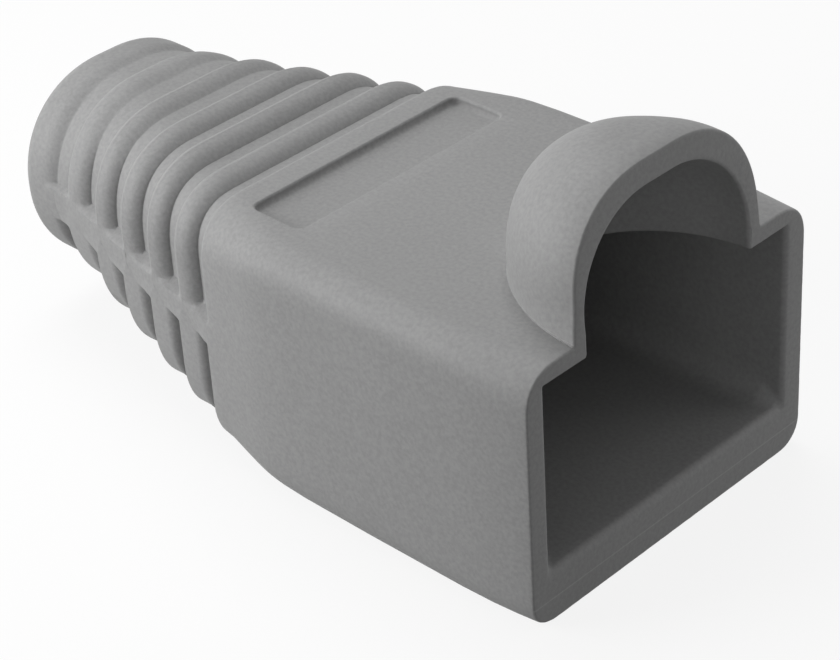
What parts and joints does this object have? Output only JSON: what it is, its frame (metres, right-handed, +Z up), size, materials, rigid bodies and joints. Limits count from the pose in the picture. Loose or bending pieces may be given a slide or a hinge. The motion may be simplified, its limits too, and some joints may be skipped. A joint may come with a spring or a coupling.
{
  "type": "strain relief boot",
  "caption": "Soft one-piece strain relief boot for a modular data plug, with a latch hood, a plug cavity and a ribbed tapered tail around a cable bore.",
  "frame": {"origin": "middle of the part's length and width, on the plane of the flat underside", "axes": "+X along the cable's way, out of the mouth where the plug goes in; +Z up, towards the latch hood; +Y to the left when looking out of the mouth"},
  "size_m": [0.0274, 0.014, 0.0143],
  "materials": {
    "boot_pvc": "matte, fine grained soft moulding"
  },
  "bodies": {
    "root": {"boot": "boot_pvc"}
  },
  "joints": []
}
